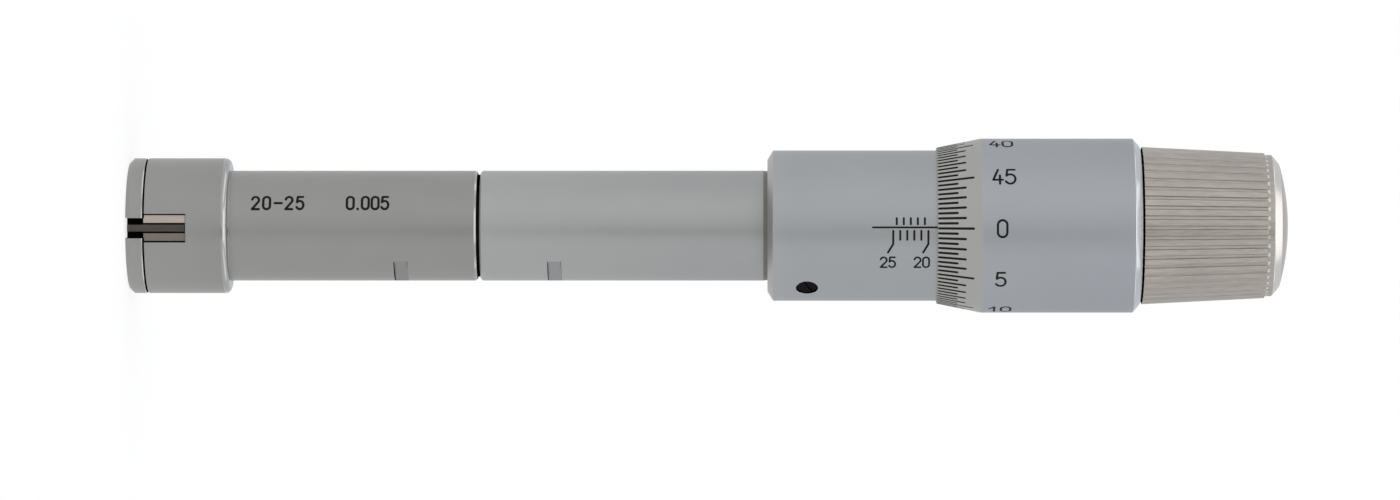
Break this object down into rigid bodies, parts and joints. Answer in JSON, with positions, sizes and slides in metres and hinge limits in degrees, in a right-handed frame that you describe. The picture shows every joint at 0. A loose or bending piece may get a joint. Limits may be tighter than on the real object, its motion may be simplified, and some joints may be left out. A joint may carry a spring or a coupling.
{
  "type": "three-point micrometer",
  "caption": "Internal micrometer: a measuring head with radial anvils on a long tubular body, read on a sleeve and thimble and driven by a fluted ratchet knob",
  "frame": {"origin": "the centre of the measuring head's flat front face", "axes": "+Z along the instrument's axis, from the front face towards the ratchet knob; -Y is the side that faces the camera in the picture and +X is the picture's lower side"},
  "size_m": [0.025, 0.025, 0.1663],
  "materials": {
    "head_steel": "satin chrome plated steel",
    "satin_chrome": "satin chrome plated steel",
    "stainless": "finely turned stainless steel",
    "ground_steel": "ground hardened steel",
    "carbide": "ground carbide",
    "spring_steel": "bright spring wire",
    "black_steel": "black oxide"
  },
  "bodies": {
    "barrel_body": {"head_body": "head_steel", "front_cap": "head_steel", "front_cap_screws": "black_steel", "anvil_spring_1": "spring_steel", "anvil_spring_2": "spring_steel", "anvil_spring_3": "spring_steel", "return_spring": "spring_steel", "barrel": "satin_chrome", "guide_bush": "ground_steel", "spindle_nut": "ground_steel", "adjusting_nut": "ground_steel", "sleeve": "satin_chrome", "sleeve_set_screw": "black_steel"},
    "cone_slide": {"measuring_cone": "ground_steel", "cone_rod": "ground_steel", "spring_collar": "ground_steel", "rod_clip": "spring_steel", "thrust_ball": "ground_steel"},
    "anvil_body_1": {"anvil_1": "ground_steel", "carbide_strip_1": "carbide"},
    "anvil_body_2": {"anvil_2": "ground_steel", "carbide_strip_2": "carbide"},
    "anvil_body_3": {"anvil_3": "ground_steel", "carbide_strip_3": "carbide"},
    "thimble_body": {"spindle": "ground_steel", "thimble": "satin_chrome", "setting_nut": "ground_steel", "ratchet_wheel": "ground_steel", "ratchet_screw": "ground_steel"},
    "knob_body": {"ratchet_knob": "stainless", "end_cap": "stainless", "ratchet_spring": "spring_steel"},
    "clutch": {"ratchet_disc": "ground_steel"}
  },
  "joints": [
    {"name": "cone_travel", "type": "slide", "parent": "barrel_body", "child": "cone_slide", "axis": [0, 0, -1], "range_m": [0, 0.0065], "deforming": ["return_spring"]},
    {"name": "thimble_turn", "type": "hinge", "parent": "cone_slide", "child": "thimble_body", "pos_m": [0, 0, 0.1161], "axis": [0, 0, -1], "range_deg": [0, 4680]},
    {"name": "knob_turn", "type": "hinge", "parent": "thimble_body", "child": "knob_body", "pos_m": [0, 0, 0.1456], "axis": [0, 0, -1], "continuous": true},
    {"name": "ratchet_lift", "type": "slide", "parent": "knob_body", "child": "clutch", "axis": [0, 0, 1], "range_m": [0, 0.0009], "stiffness_N_per_m": 1500, "springref_m": -0.002, "deforming": ["ratchet_spring"]},
    {"name": "anvil_slide_1", "type": "slide", "parent": "barrel_body", "child": "anvil_body_1", "axis": [0.0419, -0.9991, 0], "range_m": [0, 0.00325], "deforming": ["anvil_spring_1"]},
    {"name": "anvil_slide_2", "type": "slide", "parent": "barrel_body", "child": "anvil_body_2", "axis": [0.8443, 0.5358, 0], "range_m": [0, 0.00325], "deforming": ["anvil_spring_2"]},
    {"name": "anvil_slide_3", "type": "slide", "parent": "barrel_body", "child": "anvil_body_3", "axis": [-0.8862, 0.4633, 0], "range_m": [0, 0.00325], "deforming": ["anvil_spring_3"]}
  ],
  "couplings": [
    {"joint": "thimble_turn", "follows": "cone_travel", "rad_per_m": 12566},
    {"joint": "anvil_slide_1", "follows": "cone_travel", "ratio": 0.5},
    {"joint": "anvil_slide_2", "follows": "cone_travel", "ratio": 0.5},
    {"joint": "anvil_slide_3", "follows": "cone_travel", "ratio": 0.5}
  ]
}
